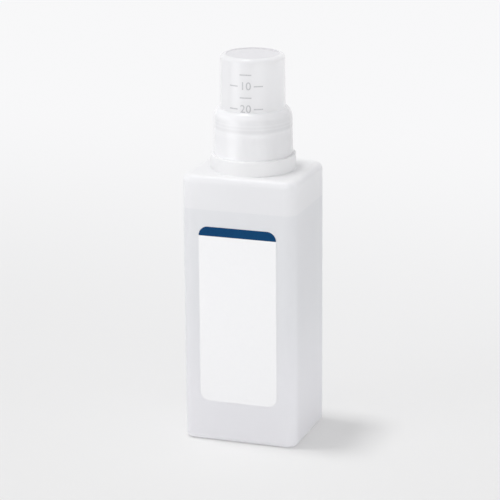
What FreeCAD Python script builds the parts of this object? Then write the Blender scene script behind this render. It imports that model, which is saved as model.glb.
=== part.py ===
"""Laundry detergent bottle with a screw-on dosing cap, in millimetres.

A blow-moulded oblong bottle of natural polyethylene stands on a flat foot ring around a
push-up base. A round boss rises from its flat shoulder and carries a slimmer neck. A pour
spout with a drip trough, a slanted lip and a drain slit is plugged into the neck. The cap
is one moulding: an upside-down measuring cup whose rim seats on the spout's flange, with a
wider skirt outside it that hides the neck. A film label covers most of the front face, and
the detergent fills the body up to its level.

+Z is up, the front face looks along -Y, and the origin is the centre of the foot.
"""

import FreeCAD, Part
import math
import os

V = FreeCAD.Vector
UP = V(0, 0, 1)
CENTRE = V(0, 0, 0)
TINY = 0.01

# Bottle body
body_width = 62.7
body_depth = 52.6
body_height = 145.4
corner_radius = 6.0
shoulder_radius = 4.0
base_radius = 3.0
bottle_wall = 1.0
inside_round = 0.5

# Push-up in the base: the bottle stands on the flat ring around it
foot_width = 4.0
pushup_height = 2.5
pushup_slope = 3.5
pushup_corner = 4.0

# Boss on the shoulder, and the neck above it
boss_radius = 22.4
boss_height = 8.1
boss_blend = 0.8
boss_rim_round = 0.6
boss_wall = 1.2
neck_radius = 18.0
neck_height = 19.9
neck_wall = 1.8
neck_blend = 0.6
neck_rim_round = 0.4

# Pour spout, plugged into the neck
flange_thickness = 1.0
flange_setback = 0.2
flange_edge_round = 0.25
plug_clearance = 0.05
plug_wall = 0.9
plug_depth = 12.5
plug_lead_in = 0.5
trough_floor = 1.0
trough_fall = 1.5
spout_radius = 9.5
spout_wall = 1.0
spout_reach = 11.6
spout_slope = 22.0
spout_flare = 0.9
flare_height = 3.5
drain_slit_width = 3.2
drain_slit_foot = 0.4

# Dosing cap: measuring cup, skirt and the shoulder that joins them
seat_gap = 0.3
cap_wall = 1.0
cup_rim_radius = 17.2
cup_end_radius = 16.9
cup_depth = 30.2
cup_end_thickness = 1.4
cup_edge_round = 2.3
cup_dish_radius = 14.0
cup_dish_depth = 0.5
cup_rim_round = 0.3
shoulder_rise = 3.6
shoulder_drop = 6.4
shoulder_start_radius = 16.8
skirt_top_radius = 20.65
skirt_bottom_radius = 20.95
skirt_gap = 0.3
skirt_rim_round = 0.35

# Label on the front face
label_width = 42.6
label_height = 95.9
label_bottom = 22.6
label_corner = 5.0
label_thickness = 0.15

# Detergent in the bottle
fill_level = 127.4
fill_clearance = 0.1

# Heights and radii that follow from the sizes above
boss_top = body_height + boss_height
neck_rim = boss_top + neck_height
flange_top = neck_rim + flange_thickness
cup_rim = flange_top + seat_gap
cap_top = cup_rim + cup_depth + cup_end_thickness
shoulder_top = cup_rim + shoulder_rise
shoulder_foot = shoulder_top - shoulder_drop
skirt_bottom = boss_top + skirt_gap
bore_radius = neck_radius - neck_wall
plug_radius = bore_radius - plug_clearance
plug_bottom = neck_rim - plug_depth
lip_top = neck_rim + spout_reach
inner_base_radius = max(base_radius - bottle_wall, inside_round)
inner_shoulder_radius = max(shoulder_radius - bottle_wall, inside_round)
inner_corner_radius = max(corner_radius - bottle_wall, inside_round)


def rounded_rectangle(width, depth, corner, z):
    """A closed flat outline: a rectangle with rounded corners, around the axis."""
    x = width / 2 - corner
    y = depth / 2 - corner
    arcs = []
    for turn, (side_x, side_y) in enumerate(((1, 1), (-1, 1), (-1, -1), (1, -1))):
        centre = V(side_x * x, side_y * y, z)
        arcs.append(Part.makeCircle(corner, centre, UP, 90 * turn, 90 * turn + 90))
    edges = []
    for arc, following in zip(arcs, arcs[1:] + arcs[:1]):
        edges.append(arc)
        edges.append(Part.makeLine(arc.lastVertex().Point, following.firstVertex().Point))
    return Part.Wire(edges)


def level_edges(shape, z):
    """The edges of a solid that lie flat at one height."""
    return [e for e in shape.Edges if all(abs(v.Z - z) < TINY for v in e.Vertexes)]


def round_edges(shape, radius, z):
    """The circular edges of a solid at one radius and height."""
    circles = [e for e in shape.Edges if isinstance(e.Curve, Part.Circle)]
    return [
        e
        for e in circles
        if abs(e.Curve.Radius - radius) < TINY and abs(e.Curve.Center.z - z) < TINY
    ]


def rounded_block(width, depth, low, high, corner, low_round, high_round):
    """An upright block with rounded corners and rounded top and bottom edges."""
    outline = rounded_rectangle(width, depth, corner, low)
    block = Part.Face(outline).extrude(V(0, 0, high - low))
    block = block.makeFillet(high_round, level_edges(block, high))
    return block.makeFillet(low_round, level_edges(block, low))


def turned(points):
    """A solid of revolution from the corners of its half section, as radius and height."""
    corners = [V(radius, 0, z) for radius, z in points]
    section = Part.makePolygon(corners + corners[:1])
    return Part.Face(section).revolve(CENTRE, UP, 360)


def pushup(inset):
    """The raised middle of the base, grown by inset for the surface inside the bottle."""
    margin = base_radius + foot_width - inset
    width = body_width - 2 * margin
    depth = body_depth - 2 * margin
    low = rounded_rectangle(width, depth, pushup_corner + inset, inset)
    high = rounded_rectangle(
        width - 2 * pushup_slope,
        depth - 2 * pushup_slope,
        pushup_corner + inset,
        pushup_height + inset,
    )
    return Part.makeLoft([low, high], True, True)


def body_room(gap):
    """The room inside the bottle's body, with a gap left to the inner wall."""
    inset = bottle_wall + gap
    room = rounded_block(
        body_width - 2 * inset,
        body_depth - 2 * inset,
        inset,
        body_height - inset,
        inner_corner_radius,
        inner_base_radius,
        inner_shoulder_radius,
    )
    return room.cut(pushup(inset))


def boss_foot_edges(shape):
    """The edges where the boss meets the shoulder, flat or on its rounded rim."""

    def on_foot(vertex):
        radius = math.hypot(vertex.X, vertex.Y)
        return abs(radius - boss_radius) < TINY and vertex.Z < body_height + TINY

    return [e for e in shape.Edges if all(on_foot(v) for v in e.Vertexes)]


def bottle_outside():
    """The bottle as a solid form: body, boss and neck with their roundings."""
    body = rounded_block(
        body_width, body_depth, 0, body_height, corner_radius, base_radius, shoulder_radius
    )
    boss_low = body_height - shoulder_radius
    boss = Part.makeCylinder(boss_radius, boss_top - boss_low, V(0, 0, boss_low))
    form = body.fuse(boss).removeSplitter()
    form = form.makeFillet(boss_blend, boss_foot_edges(form))
    form = form.makeFillet(boss_rim_round, round_edges(form, boss_radius, boss_top))
    neck_low = boss_top - boss_wall
    neck = Part.makeCylinder(neck_radius, neck_rim - neck_low, V(0, 0, neck_low))
    form = form.fuse(neck).removeSplitter()
    form = form.makeFillet(neck_blend, round_edges(form, neck_radius, boss_top))
    return form.makeFillet(neck_rim_round, round_edges(form, neck_radius, neck_rim))


def make_bottle():
    """The blow-moulded bottle: one open shell with a push-up base."""
    boss_room_top = boss_top - boss_wall
    boss_room_low = body_height - bottle_wall - inner_shoulder_radius
    boss_room = Part.makeCylinder(
        boss_radius - boss_wall, boss_room_top - boss_room_low, V(0, 0, boss_room_low)
    )
    boss_room = boss_room.makeFillet(inside_round, level_edges(boss_room, boss_room_top))
    bore_low = boss_room_top - boss_wall
    bore = Part.makeCylinder(bore_radius, neck_rim + boss_wall - bore_low, V(0, 0, bore_low))
    room = body_room(0).fuse([boss_room, bore])
    return bottle_outside().cut(room).cut(pushup(0))


def spout_plug():
    """The spout's flange, plug wall and the floor of the drip trough, which falls inwards."""
    spout_bore = spout_radius - spout_wall
    plug_bore = plug_radius - plug_wall
    flange_radius = neck_radius - flange_setback
    plug = turned(
        [
            (spout_bore, plug_bottom - trough_floor),
            (plug_radius - plug_lead_in, plug_bottom + trough_fall - trough_floor),
            (plug_radius, plug_bottom + trough_fall - trough_floor + plug_lead_in),
            (plug_radius, neck_rim),
            (flange_radius, neck_rim),
            (flange_radius, flange_top),
            (plug_bore, flange_top),
            (plug_bore, plug_bottom + trough_fall),
            (spout_bore, plug_bottom),
        ]
    )
    return plug.makeFillet(flange_edge_round, round_edges(plug, flange_radius, flange_top))


def spout_tube():
    """The upright tube of the spout, flared at its lip."""
    foot = plug_bottom - trough_floor
    flare_start = lip_top - flare_height
    bore = spout_radius - spout_wall
    return turned(
        [
            (bore, foot),
            (spout_radius, foot),
            (spout_radius, flare_start),
            (spout_radius + spout_flare, lip_top),
            (bore + spout_flare, lip_top),
            (bore, flare_start),
        ]
    )


def above_lip():
    """The wedge that slants the lip: highest in front, lowest at the back."""
    reach = spout_radius + spout_flare
    fall = 2 * reach * math.tan(math.radians(spout_slope))
    side = [
        V(-reach, -reach, lip_top),
        V(-reach, reach, lip_top - fall),
        V(-reach, reach, lip_top + reach),
        V(-reach, -reach, lip_top + reach),
    ]
    return Part.Face(Part.makePolygon(side + side[:1])).extrude(V(2 * reach, 0, 0))


def make_pour_spout():
    """The pour spout: one moulding with a slit at the back that drains the trough."""
    tube = spout_tube().cut(above_lip())
    slit_low = plug_bottom + drain_slit_foot
    slit = Part.makeBox(
        drain_slit_width,
        spout_radius,
        lip_top - slit_low,
        V(-drain_slit_width / 2, spout_radius / 2, slit_low),
    )
    slit = slit.common(Part.makeCylinder(spout_radius + spout_flare, lip_top))
    return spout_plug().fuse(tube.cut(slit)).removeSplitter()


def cup_form(inset, low, high, edge_round):
    """A tapered cup form, inset from the cup's outer surface, rounded at its closed end."""
    fall = (cup_rim_radius - cup_end_radius) / (cap_top - cup_rim)
    low_radius = cup_rim_radius - inset - fall * (low - cup_rim)
    high_radius = cup_rim_radius - inset - fall * (high - cup_rim)
    cone = Part.makeCone(low_radius, high_radius, high - low, V(0, 0, low))
    return cone.makeFillet(edge_round, level_edges(cone, high))


def skirt_form(inset):
    """The skirt and its domed shoulder as a solid form, inset from the outer surface."""
    foot = V(skirt_top_radius - inset, 0, shoulder_foot)
    crown = V(shoulder_start_radius, 0, shoulder_top - inset)
    centre = V(shoulder_start_radius, 0, shoulder_foot)
    near, far = sorted((foot, crown), key=centre.distanceToPoint)
    dome = Part.Ellipse(far, near, centre)
    start, end = sorted((dome.parameter(foot), dome.parameter(crown)))
    quarter = Part.ArcOfEllipse(dome, start, end).toShape()
    bottom = V(skirt_bottom_radius - inset, 0, skirt_bottom)
    corners = [crown, V(0, 0, crown.z), V(0, 0, bottom.z), bottom, foot]
    edges = [Part.makeLine(a, b) for a, b in zip(corners, corners[1:])]
    section = Part.Wire(Part.__sortEdges__([quarter] + edges))
    return Part.Face(section).revolve(CENTRE, UP, 360)


def make_dosing_cap():
    """The cap: an upside-down measuring cup inside a skirt that reaches down to the boss."""
    skirt = skirt_form(0).cut(skirt_form(cap_wall))
    cup = cup_form(0, cup_rim, cap_top, cup_edge_round)
    cap = skirt.fuse(cup).removeSplitter()
    inner_round = max(cup_edge_round - cap_wall, inside_round)
    room = cup_form(cap_wall, cup_rim - cap_wall, cap_top - cup_end_thickness, inner_round)
    dish = Part.makeCylinder(cup_dish_radius, cup_dish_depth, V(0, 0, cap_top - cup_dish_depth))
    cap = cap.cut(room).cut(dish)
    cap = cap.makeFillet(cup_rim_round, round_edges(cap, cup_rim_radius, cup_rim))
    return cap.makeFillet(skirt_rim_round, round_edges(cap, skirt_bottom_radius, skirt_bottom))


def make_label():
    """The film label, flat on the front face, with rounded corners."""
    front = -body_depth / 2
    plate = Part.makeBox(
        label_width,
        label_thickness,
        label_height,
        V(-label_width / 2, front - label_thickness, label_bottom),
    )
    corners = [e for e in plate.Edges if abs(e.BoundBox.YLength - label_thickness) < TINY]
    return plate.makeFillet(label_corner, corners)


def make_detergent():
    """The liquid, which fills the body up to its level."""
    below = Part.makeBox(
        body_width, body_depth, fill_level, V(-body_width / 2, -body_depth / 2, 0)
    )
    return body_room(fill_clearance).common(below)


os.makedirs("parts", exist_ok=True)
PIECES = {
    "bottle": make_bottle,
    "pour_spout": make_pour_spout,
    "dosing_cap": make_dosing_cap,
    "front_label": make_label,
    "detergent": make_detergent,
}
for name, make in PIECES.items():
    make().exportStep(f"parts/{name}.step")
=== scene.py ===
"""Looks of the laundry detergent bottle: finishes, cup marks, threads, light and camera.

Everything is in metres in the bottle's own frame: the foot is at the origin, the label
faces -Y and +Z is up.
"""

import bpy
import math
from mathutils import Matrix, Vector


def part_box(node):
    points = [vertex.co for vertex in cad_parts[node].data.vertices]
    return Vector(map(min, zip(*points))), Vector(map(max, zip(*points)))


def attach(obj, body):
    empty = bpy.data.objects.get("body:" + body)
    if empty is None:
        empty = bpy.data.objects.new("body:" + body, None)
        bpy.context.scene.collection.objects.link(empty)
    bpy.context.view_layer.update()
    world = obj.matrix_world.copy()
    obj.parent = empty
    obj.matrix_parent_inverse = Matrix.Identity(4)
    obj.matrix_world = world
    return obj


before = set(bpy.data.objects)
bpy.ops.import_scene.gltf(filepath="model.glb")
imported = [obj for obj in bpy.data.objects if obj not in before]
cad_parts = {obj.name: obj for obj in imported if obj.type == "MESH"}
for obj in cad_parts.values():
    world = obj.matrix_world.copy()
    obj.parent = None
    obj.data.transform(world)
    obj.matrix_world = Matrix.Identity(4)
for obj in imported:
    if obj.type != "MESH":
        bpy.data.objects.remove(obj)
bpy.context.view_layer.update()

MM = 0.001

# Heights of the solids that the marks, threads and print are set from
bottle_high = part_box("bottle")[1]
cap_low, cap_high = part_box("dosing_cap")
label_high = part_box("front_label")[1]
liquid_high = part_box("detergent")[1]

# Print on the measuring cup: one mark for every 5 mL, counted from the closed end
MARK_COUNT = 4
MARK_STEP_ML = 5
MARK_SPACING = 6.0 * MM
FIRST_MARK_DROP = 8.1 * MM
MARK_STROKE = 0.6 * MM
MARK_CENTRE = math.radians(6.3)
SHORT_MARK_HALF = math.radians(10.6)
LONG_MARK_INNER = math.radians(14.5)
LONG_MARK_OUTER = math.radians(31.0)
MARK_RADIUS = 17.0 * MM
CUP_MARK_FRONT = 19.0 * MM
MARK_CUTS = 7
INK_PROUD = 0.03 * MM
FIGURE_HEIGHT = 4.3 * MM
FONT_SIZE_PER_HEIGHT = 1.35
FIGURE_BOLDNESS = 0.04 * MM
FIGURE_SPACING = 1.05

# Thread on the neck and in the skirt
THREAD_PITCH = 4.0 * MM
THREAD_TURNS = 1.6
NECK_THREAD_ROOT = 17.9 * MM
NECK_THREAD_CREST = 18.95 * MM
NECK_THREAD_LOW = bottle_high.z - 8.4 * MM
SKIRT_THREAD_ROOT = 19.9 * MM
SKIRT_THREAD_CREST = 19.15 * MM
SKIRT_THREAD_LOW = bottle_high.z - 10.4 * MM
THREAD_WIDTH = 1.7 * MM
THREAD_SIDES = 10
THREAD_STEPS = 150
THREAD_RUN_OUT = 0.08

# Bead around the skirt's foot
BEAD_RADIUS = 20.8 * MM
BEAD_THICKNESS = 0.38 * MM
BEAD_DROP = 0.1 * MM
BEAD_SEGMENTS = 144
BEAD_SIDES = 12

# Painted light and shade at the top of the skirt, for the neck's rim and threads showing through:
# lighter rings and a darker band, as height and share of the skirt's tone
RINGS_LOW = 166.0 * MM
RINGS_HIGH = 176.0 * MM
RING_TONES = (
    (166.5, 0.95), (167.3, 0.985), (168.0, 0.945), (168.7, 0.89), (169.5, 0.9), (170.1, 0.975),
    (170.7, 0.915), (171.3, 0.92), (171.9, 0.98), (172.6, 0.925), (174.2, 0.94), (175.2, 1.0),
)

# Between these heights the skirt's denser look goes over into the cup's clearer one
SKIRT_LOOK_TOP = 162 * MM
CUP_LOOK_FOOT = 182 * MM

# The closed end's flat disc, darker by painted shade, ends between these radii
DISC_INSIDE = 13.9 * MM
DISC_OUTSIDE = 14.6 * MM

# Heights of painted light on the bottle: lighter towards the foot, and lighter from the flat
# shoulder up
PAINTED_FOOT_LIGHT_LOW = 10 * MM
PAINTED_FOOT_LIGHT_HIGH = 80 * MM
PAINTED_SHOULDER_LIGHT_LOW = 144.2 * MM
PAINTED_SHOULDER_LIGHT_HIGH = 145.3 * MM

# Print on the label
STRIP_HEIGHT = 5.0 * MM
STRIP_EDGE = 0.04 * MM

# Plastics
PLASTIC_IOR = 1.5
LIQUID_IOR = 1.36
BUMP_STRENGTH = 0.4

# Floor and surroundings
FLOOR_SIZE = 60
FLOOR_NEAR = -0.45
GLOW_SHARE_FAR = 0.68
GLOW_LEVEL_FAR = 0.75
SURROUND_LEVEL = 0.55
BACKGROUND_LEVEL = 1.0

# Lights
PANEL_SPREAD = math.radians(70)
SPOT_DISTANCE = 1.5
SPOT_SOFTNESS = 0.1

# Camera of the photo's view, in degrees: turned to the right, looking down, and rolled
CAMERA_PLACE = (0.4191, -1.2032, 0.4744)
CAMERA_YAW = 19.297
CAMERA_DOWN = 16.378
CAMERA_ROLL = -0.412
SENSOR_WIDTH = 36
LENS = 180.38


def pick_nothing():
    """Deselects every object, so that an operator acts only on what it makes."""
    bpy.ops.object.select_all(action="DESELECT")


def pick(piece):
    """Makes a piece the only selected and active object."""
    pick_nothing()
    piece.select_set(True)
    bpy.context.view_layer.objects.active = piece


def settle(piece):
    """Applies a piece's place, so that its object sits at the origin."""
    pick(piece)
    bpy.ops.object.transform_apply(location=True, rotation=True, scale=True)


def apply_all(piece):
    """Applies all of a piece's modifiers in order."""
    pick(piece)
    for modifier in list(piece.modifiers):
        bpy.ops.object.modifier_apply(modifier=modifier.name)


def face_outwards(piece):
    """Merges doubled points and turns all faces outwards."""
    pick(piece)
    bpy.ops.object.mode_set(mode="EDIT")
    bpy.ops.mesh.select_all(action="SELECT")
    bpy.ops.mesh.remove_doubles(threshold=0.005 * MM)
    bpy.ops.mesh.normals_make_consistent(inside=False)
    bpy.ops.object.mode_set(mode="OBJECT")


def join(pieces, name):
    """Joins pieces into the first one and names it."""
    pick_nothing()
    for piece in pieces:
        piece.select_set(True)
    bpy.context.view_layer.objects.active = pieces[0]
    bpy.ops.object.join()
    pieces[0].name = name
    return pieces[0]


def new_material(name):
    """A node material with its shader, and the object coordinates to paint by."""
    material = bpy.data.materials.new(name)
    material.use_nodes = True
    nodes = material.node_tree.nodes
    shader = nodes["Principled BSDF"]
    place = nodes.new("ShaderNodeTexCoord").outputs["Object"]
    return material, nodes, material.node_tree.links, shader, place


def noise(nodes, links, place, scale, detail=2.0):
    """A soft noise pattern over object coordinates."""
    texture = nodes.new("ShaderNodeTexNoise")
    texture.inputs["Scale"].default_value = scale
    texture.inputs["Detail"].default_value = detail
    links.new(place, texture.inputs["Vector"])
    return texture.outputs["Fac"]


def between(nodes, links, value, low, high, out_low, out_high, ends="SMOOTHSTEP"):
    """Maps a value's range onto another, easing in and out unless told otherwise."""
    spread = nodes.new("ShaderNodeMapRange")
    spread.interpolation_type = ends
    spread.inputs["From Min"].default_value = low
    spread.inputs["From Max"].default_value = high
    spread.inputs["To Min"].default_value = out_low
    spread.inputs["To Max"].default_value = out_high
    links.new(value, spread.inputs["Value"])
    return spread.outputs["Result"]


def patchy(nodes, links, place, scale, low, high, detail=2.0):
    """A value that drifts between two others in soft patches."""
    return between(nodes, links, noise(nodes, links, place, scale, detail), 0.3, 0.7, low, high)


def blend_colours(nodes, links, share, first, second, way="MIX"):
    """Mixes two colours by a share. Each of the three is plain or changes over the surface."""
    mix = nodes.new("ShaderNodeMix")
    mix.data_type = "RGBA"
    mix.blend_type = way
    if hasattr(share, "links"):
        links.new(share, mix.inputs["Factor"])
    else:
        mix.inputs["Factor"].default_value = share
    for socket, colour in ((mix.inputs["A"], first), (mix.inputs["B"], second)):
        if hasattr(colour, "links"):
            links.new(colour, socket)
        else:
            socket.default_value = (*colour, 1.0)
    return mix.outputs["Result"]


def height_of(nodes, links, place):
    """The height over the foot at each point."""
    split = nodes.new("ShaderNodeSeparateXYZ")
    links.new(place, split.inputs["Vector"])
    return split.outputs["Z"]


def radius_of(nodes, links, place):
    """The distance from the upright axis at each point."""
    flat = nodes.new("ShaderNodeVectorMath")
    flat.operation = "MULTIPLY"
    flat.inputs[1].default_value = (1, 1, 0)
    links.new(place, flat.inputs[0])
    length = nodes.new("ShaderNodeVectorMath")
    length.operation = "LENGTH"
    links.new(flat.outputs["Vector"], length.inputs[0])
    return length.outputs["Value"]


def roughen(nodes, links, shader, place, scale, depth, low, high):
    """A moulded skin: fine bumps, and gloss that is uneven in wider patches."""
    grain = noise(nodes, links, place, scale)
    bump = nodes.new("ShaderNodeBump")
    bump.inputs["Strength"].default_value = BUMP_STRENGTH
    bump.inputs["Distance"].default_value = depth
    links.new(grain, bump.inputs["Height"])
    links.new(bump.outputs["Normal"], shader.inputs["Normal"])
    links.new(patchy(nodes, links, place, scale / 12, low, high), shader.inputs["Roughness"])


def let_through(nodes, links, shader, share, past=0.0):
    """Makes a closed wall pass light on as one thin milky sheet does.

    A ray that is inside the wall already leaves it freely on the far face. The share
    past is the light that reaches what stands behind the wall, so its shadow is pale.
    """
    glow = nodes.new("ShaderNodeBsdfTranslucent")
    glow.inputs["Color"].default_value = (1, 1, 1, 1)
    mix = nodes.new("ShaderNodeMixShader")
    if hasattr(share, "links"):
        links.new(share, mix.inputs[0])
    else:
        mix.inputs[0].default_value = share
    links.new(shader.outputs[0], mix.inputs[1])
    links.new(glow.outputs[0], mix.inputs[2])
    pale = nodes.new("ShaderNodeMath")
    pale.operation = "MULTIPLY_ADD"
    pale.use_clamp = True
    pale.inputs[1].default_value = past
    links.new(nodes.new("ShaderNodeLightPath").outputs["Is Shadow Ray"], pale.inputs[0])
    links.new(nodes.new("ShaderNodeNewGeometry").outputs["Backfacing"], pale.inputs[2])
    inside = nodes.new("ShaderNodeMixShader")
    links.new(pale.outputs[0], inside.inputs[0])
    links.new(mix.outputs[0], inside.inputs[1])
    links.new(nodes.new("ShaderNodeBsdfTransparent").outputs[0], inside.inputs[2])
    links.new(inside.outputs[0], nodes["Material Output"].inputs["Surface"])


def bottle_plastic():
    """Natural polyethylene, with painted shade below the liquid's level and painted light at the
    foot and shoulder.
    """
    material, nodes, links, shader, place = new_material("bottle_plastic")
    height = height_of(nodes, links, place)
    level = liquid_high.z
    # Painted shade: the wall is darker below the liquid's level, where the liquid would show
    # through it.
    dry = between(nodes, links, height, level - 0.2 * MM, level + 0.4 * MM, 0.0, 1.0)
    # Painted light: below the liquid's level the wall grows lighter towards the foot.
    low = between(nodes, links, height, PAINTED_FOOT_LIGHT_LOW, PAINTED_FOOT_LIGHT_HIGH, 1.0, 0.0)
    liquid_shade_foot_light = blend_colours(nodes, links, low, (0.87, 0.878, 0.908), (0.95, 0.945, 0.985))
    # Painted light: from the flat shoulder up, the boss and neck are lighter than the wall below
    # them.
    painted_shoulder_light = between(nodes, links, height, PAINTED_SHOULDER_LIGHT_LOW, PAINTED_SHOULDER_LIGHT_HIGH, 0.0, 1.0)
    upper = blend_colours(nodes, links, painted_shoulder_light, (0.93, 0.931, 0.955), (0.985, 0.985, 0.995))
    colour = blend_colours(nodes, links, dry, liquid_shade_foot_light, upper)
    cloud = patchy(nodes, links, place, 45.0, 0.0, 0.12)
    colour = blend_colours(nodes, links, cloud, colour, (0.95, 0.95, 0.965))
    links.new(colour, shader.inputs["Base Color"])
    roughen(nodes, links, shader, place, 1400.0, 0.02 * MM, 0.36, 0.46)
    shader.inputs["Alpha"].default_value = 0.95
    shader.inputs["IOR"].default_value = PLASTIC_IOR
    let_through(nodes, links, shader, 0.3)
    return material


def cap_plastic():
    """Natural polypropylene with a frosted skin.

    The top of the skirt has faint painted light and shade where the neck's rim and the threads
    would show through, and the skirt lets less light pass than the cup, because the neck stands
    close behind it.
    """
    material, nodes, links, shader, place = new_material("cap_plastic")
    cloud = patchy(nodes, links, place, 60.0, 0.0, 1.0)
    colour = blend_colours(nodes, links, cloud, (0.97, 0.97, 0.98), (0.98, 0.98, 0.99))
    height = height_of(nodes, links, place)
    # Painted light and shade: lighter rings and a darker band at the top of the skirt, for the
    # neck's rim and threads showing through.
    rings = nodes.new("ShaderNodeValToRGB")
    along = between(nodes, links, height, RINGS_LOW, RINGS_HIGH, 0.0, 1.0, "LINEAR")
    links.new(along, rings.inputs["Fac"])
    stops = rings.color_ramp.elements
    while len(stops) < len(RING_TONES):
        stops.new(0.5)
    for stop, (level, tone) in zip(stops, RING_TONES):
        stop.position = (level * MM - RINGS_LOW) / (RINGS_HIGH - RINGS_LOW)
        stop.color = (tone, tone, tone * 1.01, 1.0)
    colour = blend_colours(nodes, links, 1.0, colour, rings.outputs["Color"], "MULTIPLY")
    # Painted shade: the closed end's flat disc is darker grey than the rest of the cup.
    radius = radius_of(nodes, links, place)
    disc = between(nodes, links, radius, DISC_INSIDE, DISC_OUTSIDE, 1.0, 0.0)
    colour = blend_colours(nodes, links, disc, colour, (0.8, 0.79, 0.83))
    links.new(colour, shader.inputs["Base Color"])
    roughen(nodes, links, shader, place, 1600.0, 0.015 * MM, 0.17, 0.23)
    shader.inputs["IOR"].default_value = PLASTIC_IOR
    shader.inputs["Specular IOR Level"].default_value = 0.55
    solid = between(nodes, links, height, SKIRT_LOOK_TOP, CUP_LOOK_FOOT, 0.9, 0.8)
    links.new(solid, shader.inputs["Alpha"])
    share = between(nodes, links, height, SKIRT_LOOK_TOP, CUP_LOOK_FOOT, 0.2, 0.3)
    let_through(nodes, links, shader, share, past=0.65)
    return material


def spout_plastic():
    """Soft milky polyethylene of the pour spout."""
    material, nodes, links, shader, place = new_material("spout_plastic")
    cloud = patchy(nodes, links, place, 80.0, 0.0, 1.0)
    colour = blend_colours(nodes, links, cloud, (0.88, 0.88, 0.89), (0.92, 0.92, 0.925))
    links.new(colour, shader.inputs["Base Color"])
    roughen(nodes, links, shader, place, 1500.0, 0.015 * MM, 0.35, 0.45)
    shader.inputs["Alpha"].default_value = 0.9
    shader.inputs["IOR"].default_value = PLASTIC_IOR
    let_through(nodes, links, shader, 0.45)
    return material


def detergent_liquid():
    """Clear detergent with a faint haze."""
    material, nodes, links, shader, place = new_material("detergent_liquid")
    haze = patchy(nodes, links, place, 25.0, 0.0, 1.0)
    colour = blend_colours(nodes, links, haze, (0.93, 0.94, 0.96), (0.95, 0.96, 0.975))
    links.new(colour, shader.inputs["Base Color"])
    shader.inputs["Roughness"].default_value = 0.08
    shader.inputs["IOR"].default_value = LIQUID_IOR
    shader.inputs["Alpha"].default_value = 0.2
    return material


def label_film():
    """White printed film with a blue strip across its top."""
    material, nodes, links, shader, place = new_material("label_film")
    height = height_of(nodes, links, place)
    edge = label_high.z - STRIP_HEIGHT
    blue = between(nodes, links, height, edge - STRIP_EDGE, edge + STRIP_EDGE, 0.0, 1.0)
    fibre = patchy(nodes, links, place, 700.0, 0.0, 1.0, detail=4.0)
    white = blend_colours(nodes, links, fibre, (0.892, 0.892, 0.905), (0.9, 0.9, 0.912))
    ink = blend_colours(nodes, links, fibre, (0.0005, 0.046, 0.14), (0.001, 0.052, 0.15))
    links.new(blend_colours(nodes, links, blue, white, ink), shader.inputs["Base Color"])
    roughen(nodes, links, shader, place, 2200.0, 0.01 * MM, 0.5, 0.58)
    shader.inputs["Specular IOR Level"].default_value = 0.1
    return material


def mark_ink():
    """Grey ink of the cup's marks, slightly uneven as pad print is."""
    material, nodes, links, shader, place = new_material("mark_ink")
    wear = between(nodes, links, noise(nodes, links, place, 1800.0, 4.0), 0.35, 0.65, 0.0, 1.0)
    colour = blend_colours(nodes, links, wear, (0.53, 0.53, 0.55), (0.6, 0.6, 0.62))
    links.new(colour, shader.inputs["Base Color"])
    shader.inputs["Roughness"].default_value = 0.5
    return material


def ink_bar(left, right, middle):
    """A flat bar in front of the cup, between two angles from its front."""
    low = MARK_RADIUS * math.sin(left)
    high = MARK_RADIUS * math.sin(right)
    pick_nothing()
    bpy.ops.mesh.primitive_plane_add(size=1, rotation=(math.radians(90), 0, 0))
    bar = bpy.context.object
    bar.scale = (high - low, MARK_STROKE, 1)
    bar.location = ((low + high) / 2, -CUP_MARK_FRONT, middle)
    settle(bar)
    return bar


def ink_figure(text, middle):
    """A plain number in front of the cup, as a flat mesh."""
    pick_nothing()
    bpy.ops.object.text_add(rotation=(math.radians(90), 0, 0))
    figure = bpy.context.object
    figure.data.body = text
    figure.data.align_x = "CENTER"
    figure.data.align_y = "CENTER"
    figure.data.size = FIGURE_HEIGHT * FONT_SIZE_PER_HEIGHT
    figure.data.offset = FIGURE_BOLDNESS
    figure.data.space_character = FIGURE_SPACING
    figure.location = (MARK_RADIUS * math.sin(MARK_CENTRE), -CUP_MARK_FRONT, middle)
    bpy.ops.object.convert(target="MESH")
    figure = bpy.context.object
    settle(figure)
    return figure


def make_cup_marks(ink):
    """The cup's marks: a short bar at 5 and 15 mL, and a number between bars at 10 and 20 mL."""
    flats = []
    for count in range(1, MARK_COUNT + 1):
        middle = cap_high.z - FIRST_MARK_DROP - (count - 1) * MARK_SPACING
        if count % 2:
            left, right = MARK_CENTRE - SHORT_MARK_HALF, MARK_CENTRE + SHORT_MARK_HALF
            flats.append(ink_bar(left, right, middle))
            continue
        flats.append(ink_bar(MARK_CENTRE - LONG_MARK_OUTER, MARK_CENTRE - LONG_MARK_INNER, middle))
        flats.append(ink_bar(MARK_CENTRE + LONG_MARK_INNER, MARK_CENTRE + LONG_MARK_OUTER, middle))
        flats.append(ink_figure(str(MARK_STEP_ML * count), middle))
    marks = join(flats, "cup_marks")
    pick(marks)
    bpy.ops.object.mode_set(mode="EDIT")
    bpy.ops.mesh.select_all(action="SELECT")
    bpy.ops.mesh.quads_convert_to_tris()
    bpy.ops.mesh.subdivide(number_cuts=MARK_CUTS)
    bpy.ops.object.mode_set(mode="OBJECT")
    wrap = marks.modifiers.new("wrap", "SHRINKWRAP")
    wrap.wrap_method = "PROJECT"
    wrap.use_project_y = True
    wrap.use_positive_direction = True
    wrap.use_negative_direction = False
    wrap.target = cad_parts["dosing_cap"]
    wrap.offset = INK_PROUD
    apply_all(marks)
    marks.data.materials.clear()
    marks.data.materials.append(ink)
    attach(marks, "cap")


def run_out_ends(ridge, root):
    """Sinks both ends of a thread smoothly into the wall that carries it."""
    last = len(ridge.data.vertices) // THREAD_SIDES - 1
    for index, vertex in enumerate(ridge.data.vertices):
        step = index // THREAD_SIDES
        keep = min(1.0, min(step, last - step) / (last * THREAD_RUN_OUT))
        radius = math.hypot(vertex.co.x, vertex.co.y)
        wanted = root + (radius - root) * keep
        vertex.co.x *= wanted / radius
        vertex.co.y *= wanted / radius


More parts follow.
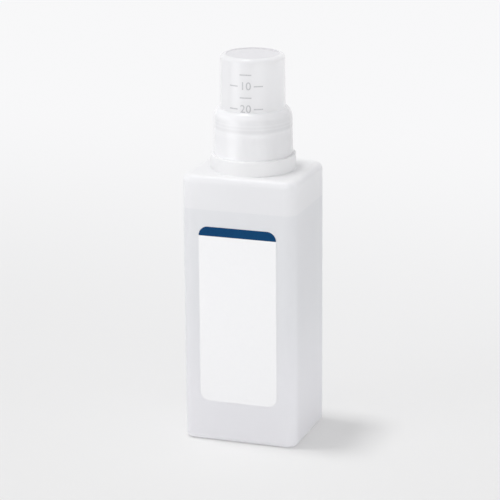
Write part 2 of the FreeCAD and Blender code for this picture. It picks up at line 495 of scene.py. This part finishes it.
def make_thread(name, root, crest, low, finish):
    """A screw thread: a rounded ridge wound around the axis, with its ends run out."""
    pick_nothing()
    bpy.ops.mesh.primitive_circle_add(
        vertices=THREAD_SIDES, radius=1, location=(root, 0, low), rotation=(math.radians(90), 0, 0)
    )
    ridge = bpy.context.object
    ridge.name = name
    ridge.scale = (crest - root, THREAD_WIDTH / 2, 1)
    settle(ridge)
    wind = ridge.modifiers.new("wind", "SCREW")
    wind.axis = "Z"
    wind.angle = THREAD_TURNS * 2 * math.pi
    wind.screw_offset = THREAD_TURNS * THREAD_PITCH
    wind.steps = THREAD_STEPS
    wind.render_steps = THREAD_STEPS
    wind.use_merge_vertices = False
    apply_all(ridge)
    run_out_ends(ridge, root)
    face_outwards(ridge)
    pick(ridge)
    bpy.ops.object.shade_smooth()
    ridge.data.materials.append(finish)
    return ridge


def make_rim_bead(finish):
    """The fine bead around the skirt's foot, which rests close over the boss below it."""
    pick_nothing()
    bpy.ops.mesh.primitive_torus_add(
        major_radius=BEAD_RADIUS, minor_radius=BEAD_THICKNESS / 2,
        major_segments=BEAD_SEGMENTS, minor_segments=BEAD_SIDES,
        location=(0, 0, cap_low.z - BEAD_DROP),
    )
    bead = bpy.context.object
    bead.name = "skirt_bead"
    settle(bead)
    bpy.ops.object.shade_smooth()
    bead.data.materials.append(finish)
    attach(bead, "cap")


def background_rays(nodes, links):
    """1 for camera, mirrored and refracted rays, 0 for those that only carry light."""
    path = nodes.new("ShaderNodeLightPath")
    total = path.outputs["Is Camera Ray"]
    for kind in ("Is Glossy Ray", "Is Transmission Ray"):
        either = nodes.new("ShaderNodeMath")
        either.operation = "MAXIMUM"
        links.new(total, either.inputs[0])
        links.new(path.outputs[kind], either.inputs[1])
        total = either.outputs[0]
    sharp = nodes.new("ShaderNodeMath")
    sharp.operation = "SUBTRACT"
    sharp.use_clamp = True
    links.new(total, sharp.inputs[0])
    links.new(path.outputs["Is Diffuse Ray"], sharp.inputs[1])
    return sharp.outputs[0]


def make_floor():
    """A pale floor that runs to the horizon, and glows more the farther behind the bottle."""
    pick_nothing()
    bpy.ops.mesh.primitive_plane_add(size=FLOOR_SIZE, location=(0, 0, 0))
    floor = bpy.context.object
    floor.name = "floor"
    material = bpy.data.materials.new("floor")
    material.use_nodes = True
    nodes = material.node_tree.nodes
    links = material.node_tree.links
    nodes.remove(nodes["Principled BSDF"])
    output = nodes["Material Output"]
    paper = nodes.new("ShaderNodeBsdfDiffuse")
    paper.inputs["Color"].default_value = (0.79, 0.789, 0.787, 1)
    glow = nodes.new("ShaderNodeEmission")
    glow.inputs["Color"].default_value = (0.989, 0.989, 1.0, 1)
    place = nodes.new("ShaderNodeTexCoord").outputs["Object"]
    split = nodes.new("ShaderNodeSeparateXYZ")
    links.new(place, split.inputs["Vector"])
    back = split.outputs["Y"]
    share = between(nodes, links, back, FLOOR_NEAR, GLOW_SHARE_FAR, 0.04, 0.76)
    strength = between(nodes, links, back, FLOOR_NEAR, GLOW_LEVEL_FAR, 0.86, 1.0)
    links.new(strength, glow.inputs["Strength"])
    seen = nodes.new("ShaderNodeMath")
    seen.operation = "MULTIPLY"
    links.new(background_rays(nodes, links), seen.inputs[0])
    links.new(share, seen.inputs[1])
    mix = nodes.new("ShaderNodeMixShader")
    links.new(seen.outputs[0], mix.inputs[0])
    links.new(paper.outputs[0], mix.inputs[1])
    links.new(glow.outputs[0], mix.inputs[2])
    links.new(mix.outputs[0], output.inputs["Surface"])
    floor.data.materials.append(material)


def way_to(azimuth, elevation):
    """The direction from the bottle to a light: azimuth is from the front, towards +X."""
    a = math.radians(azimuth)
    e = math.radians(elevation)
    return Vector((math.sin(a) * math.cos(e), -math.cos(a) * math.cos(e), math.sin(e)))


def panel(name, azimuth, distance, width, height, level):
    """A light panel that stands on the floor and faces the bottle."""
    a = math.radians(azimuth)
    pick_nothing()
    bpy.ops.object.light_add(
        type="AREA", location=(distance * math.sin(a), -distance * math.cos(a), height / 2)
    )
    lamp = bpy.context.object
    lamp.name = name
    lamp.data.shape = "RECTANGLE"
    lamp.data.size = width
    lamp.data.size_y = height
    lamp.data.spread = PANEL_SPREAD
    lamp.data.energy = level * (math.pi * distance) ** 2
    lamp.rotation_euler = (math.radians(90), 0, a)


def top_light(azimuth, elevation, spread, level):
    """A distant soft light nearly overhead, which gives the short shadow on the right."""
    back = way_to(azimuth, elevation)
    pick_nothing()
    bpy.ops.object.light_add(type="SUN", location=back)
    lamp = bpy.context.object
    lamp.name = "top_light"
    lamp.data.angle = math.radians(spread)
    lamp.data.energy = level * math.pi
    lamp.rotation_euler = back.to_track_quat("Z", "Y").to_euler()


def low_spot(azimuth, elevation, height, cone, level):
    """A distant lamp with a soft cone that only lights the foot of the bottle's side."""
    back = way_to(azimuth, elevation)
    pick_nothing()
    bpy.ops.object.light_add(type="SPOT", location=Vector((0, 0, height)) + back * SPOT_DISTANCE)
    lamp = bpy.context.object
    lamp.name = "low_spot"
    lamp.data.spot_size = math.radians(cone)
    lamp.data.spot_blend = 1.0
    lamp.data.shadow_soft_size = SPOT_SOFTNESS
    lamp.data.energy = level * 4 * (math.pi * SPOT_DISTANCE) ** 2
    lamp.rotation_euler = back.to_track_quat("Z", "Y").to_euler()


def light_studio():
    """Even pale surroundings, a panel on each side of the front, a low spot and a top light."""
    world = bpy.data.worlds.new("studio")
    bpy.context.scene.world = world
    world.use_nodes = True
    nodes = world.node_tree.nodes
    links = world.node_tree.links
    background = nodes["Background"]
    background.inputs["Color"].default_value = (0.995, 0.995, 1.0, 1)
    strength = nodes.new("ShaderNodeMapRange")
    strength.inputs["To Min"].default_value = SURROUND_LEVEL
    strength.inputs["To Max"].default_value = BACKGROUND_LEVEL
    links.new(background_rays(nodes, links), strength.inputs["Value"])
    links.new(strength.outputs["Result"], background.inputs["Strength"])
    panel("key", azimuth=-41, distance=0.45, width=0.30, height=0.26, level=0.057)
    panel("fill", azimuth=40, distance=0.5, width=0.36, height=0.26, level=0.027)
    low_spot(azimuth=80, elevation=2.5, height=0.012, cone=11, level=0.22)
    top_light(azimuth=-85, elevation=77, spread=11, level=0.44)


def set_camera():
    """The photo's view: 19 degrees round to the right, looking 16 degrees down."""
    pick_nothing()
    bpy.ops.object.camera_add(location=CAMERA_PLACE)
    camera = bpy.context.object
    yaw = Matrix.Rotation(math.radians(CAMERA_YAW), 4, "Z")
    tilt = Matrix.Rotation(math.radians(90 - CAMERA_DOWN), 4, "X")
    roll = Matrix.Rotation(math.radians(CAMERA_ROLL), 4, "Z")
    camera.rotation_euler = (yaw @ tilt @ roll).to_euler()
    camera.data.sensor_width = SENSOR_WIDTH
    camera.data.lens = LENS
    bpy.context.scene.camera = camera


def dress(node, material):
    """Gives a CAD node its finish in every material slot."""
    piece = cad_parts[node]
    for slot in piece.material_slots:
        slot.material = material


dress("bottle", bottle_plastic())
dress("pour_spout", spout_plastic())
cap_finish = cap_plastic()
dress("dosing_cap", cap_finish)
dress("detergent", detergent_liquid())
dress("front_label", label_film())

make_cup_marks(mark_ink())
# This name is the frame's own plain material. The finish made above is bottle_plastic.001.
neck_thread_finish = bpy.data.materials["bottle_plastic"]
neck_thread = make_thread(
    "neck_thread", NECK_THREAD_ROOT, NECK_THREAD_CREST, NECK_THREAD_LOW, neck_thread_finish
)
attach(neck_thread, "bottle")
skirt_thread = make_thread(
    "skirt_thread", SKIRT_THREAD_ROOT, SKIRT_THREAD_CREST, SKIRT_THREAD_LOW, cap_finish
)
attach(skirt_thread, "cap")

make_rim_bead(cap_finish)

make_floor()
light_studio()
set_camera()
bpy.context.scene.view_settings.view_transform = "Standard"
